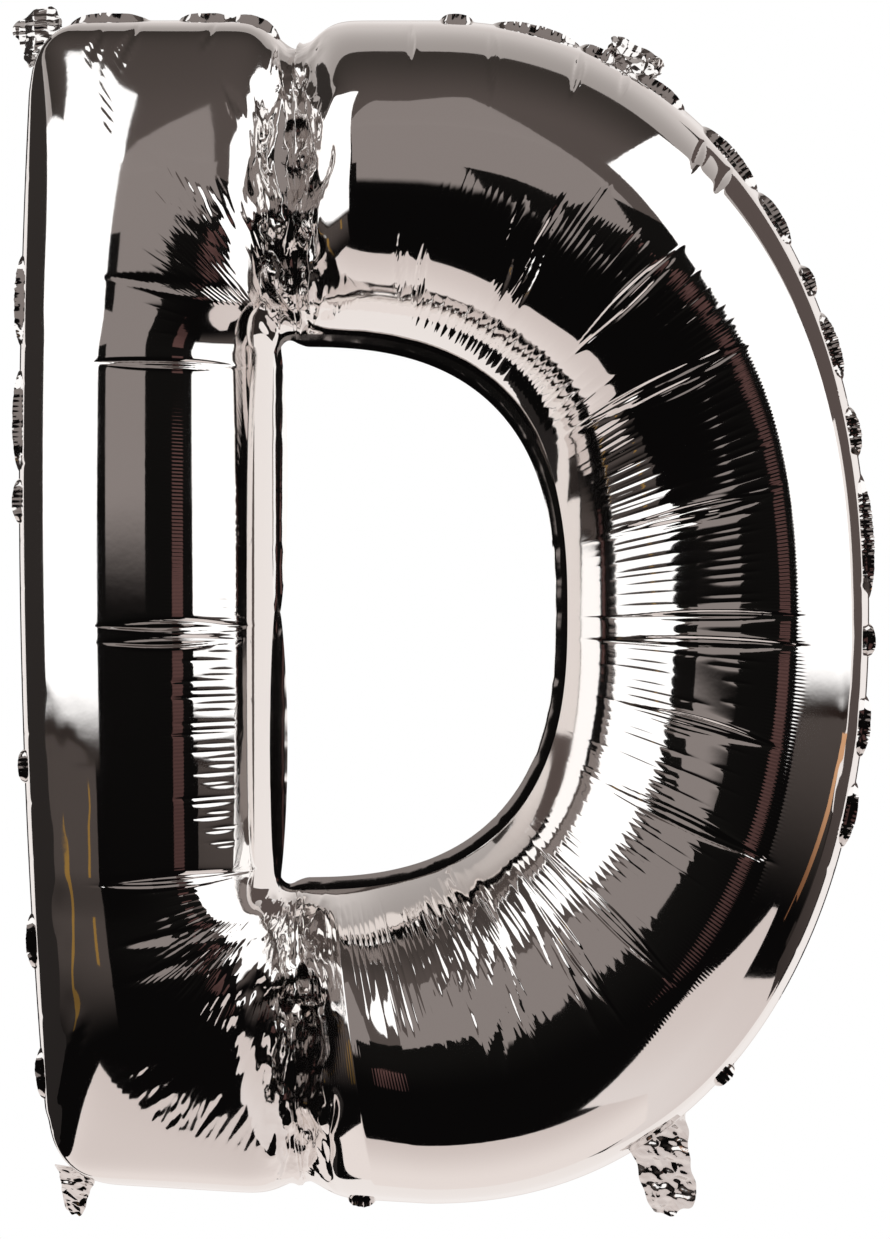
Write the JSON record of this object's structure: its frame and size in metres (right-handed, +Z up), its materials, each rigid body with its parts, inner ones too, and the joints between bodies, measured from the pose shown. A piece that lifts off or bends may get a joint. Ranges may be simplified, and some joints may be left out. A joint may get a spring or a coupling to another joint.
{
  "type": "foil letter balloon",
  "caption": "Inflated metallised-film letter D with heat-sealed hems, an open counter, small hanging tabs and a flat inflation tail.",
  "frame": {"origin": "in the seam plane, at the middle of the letter's width and height without its tabs", "axes": "+X to the right as the letter reads, +Z up the letter, and the front panel faces -Y"},
  "size_m": [0.622, 0.2292, 0.8796],
  "materials": {
    "mirror_film": "mirror-bright metallised film",
    "sealed_film": "heat-sealed metallised film, bright and finely puckered",
    "loose_film": "crumpled metallised film"
  },
  "bodies": {
    "root": {"front_panel": "mirror_film", "back_panel": "mirror_film", "outer_seam": "sealed_film", "counter_seam": "sealed_film", "inflation_tail": "loose_film", "bottom_left_tab": "loose_film", "top_left_tab": "loose_film", "top_right_tab": "loose_film"}
  },
  "joints": []
}
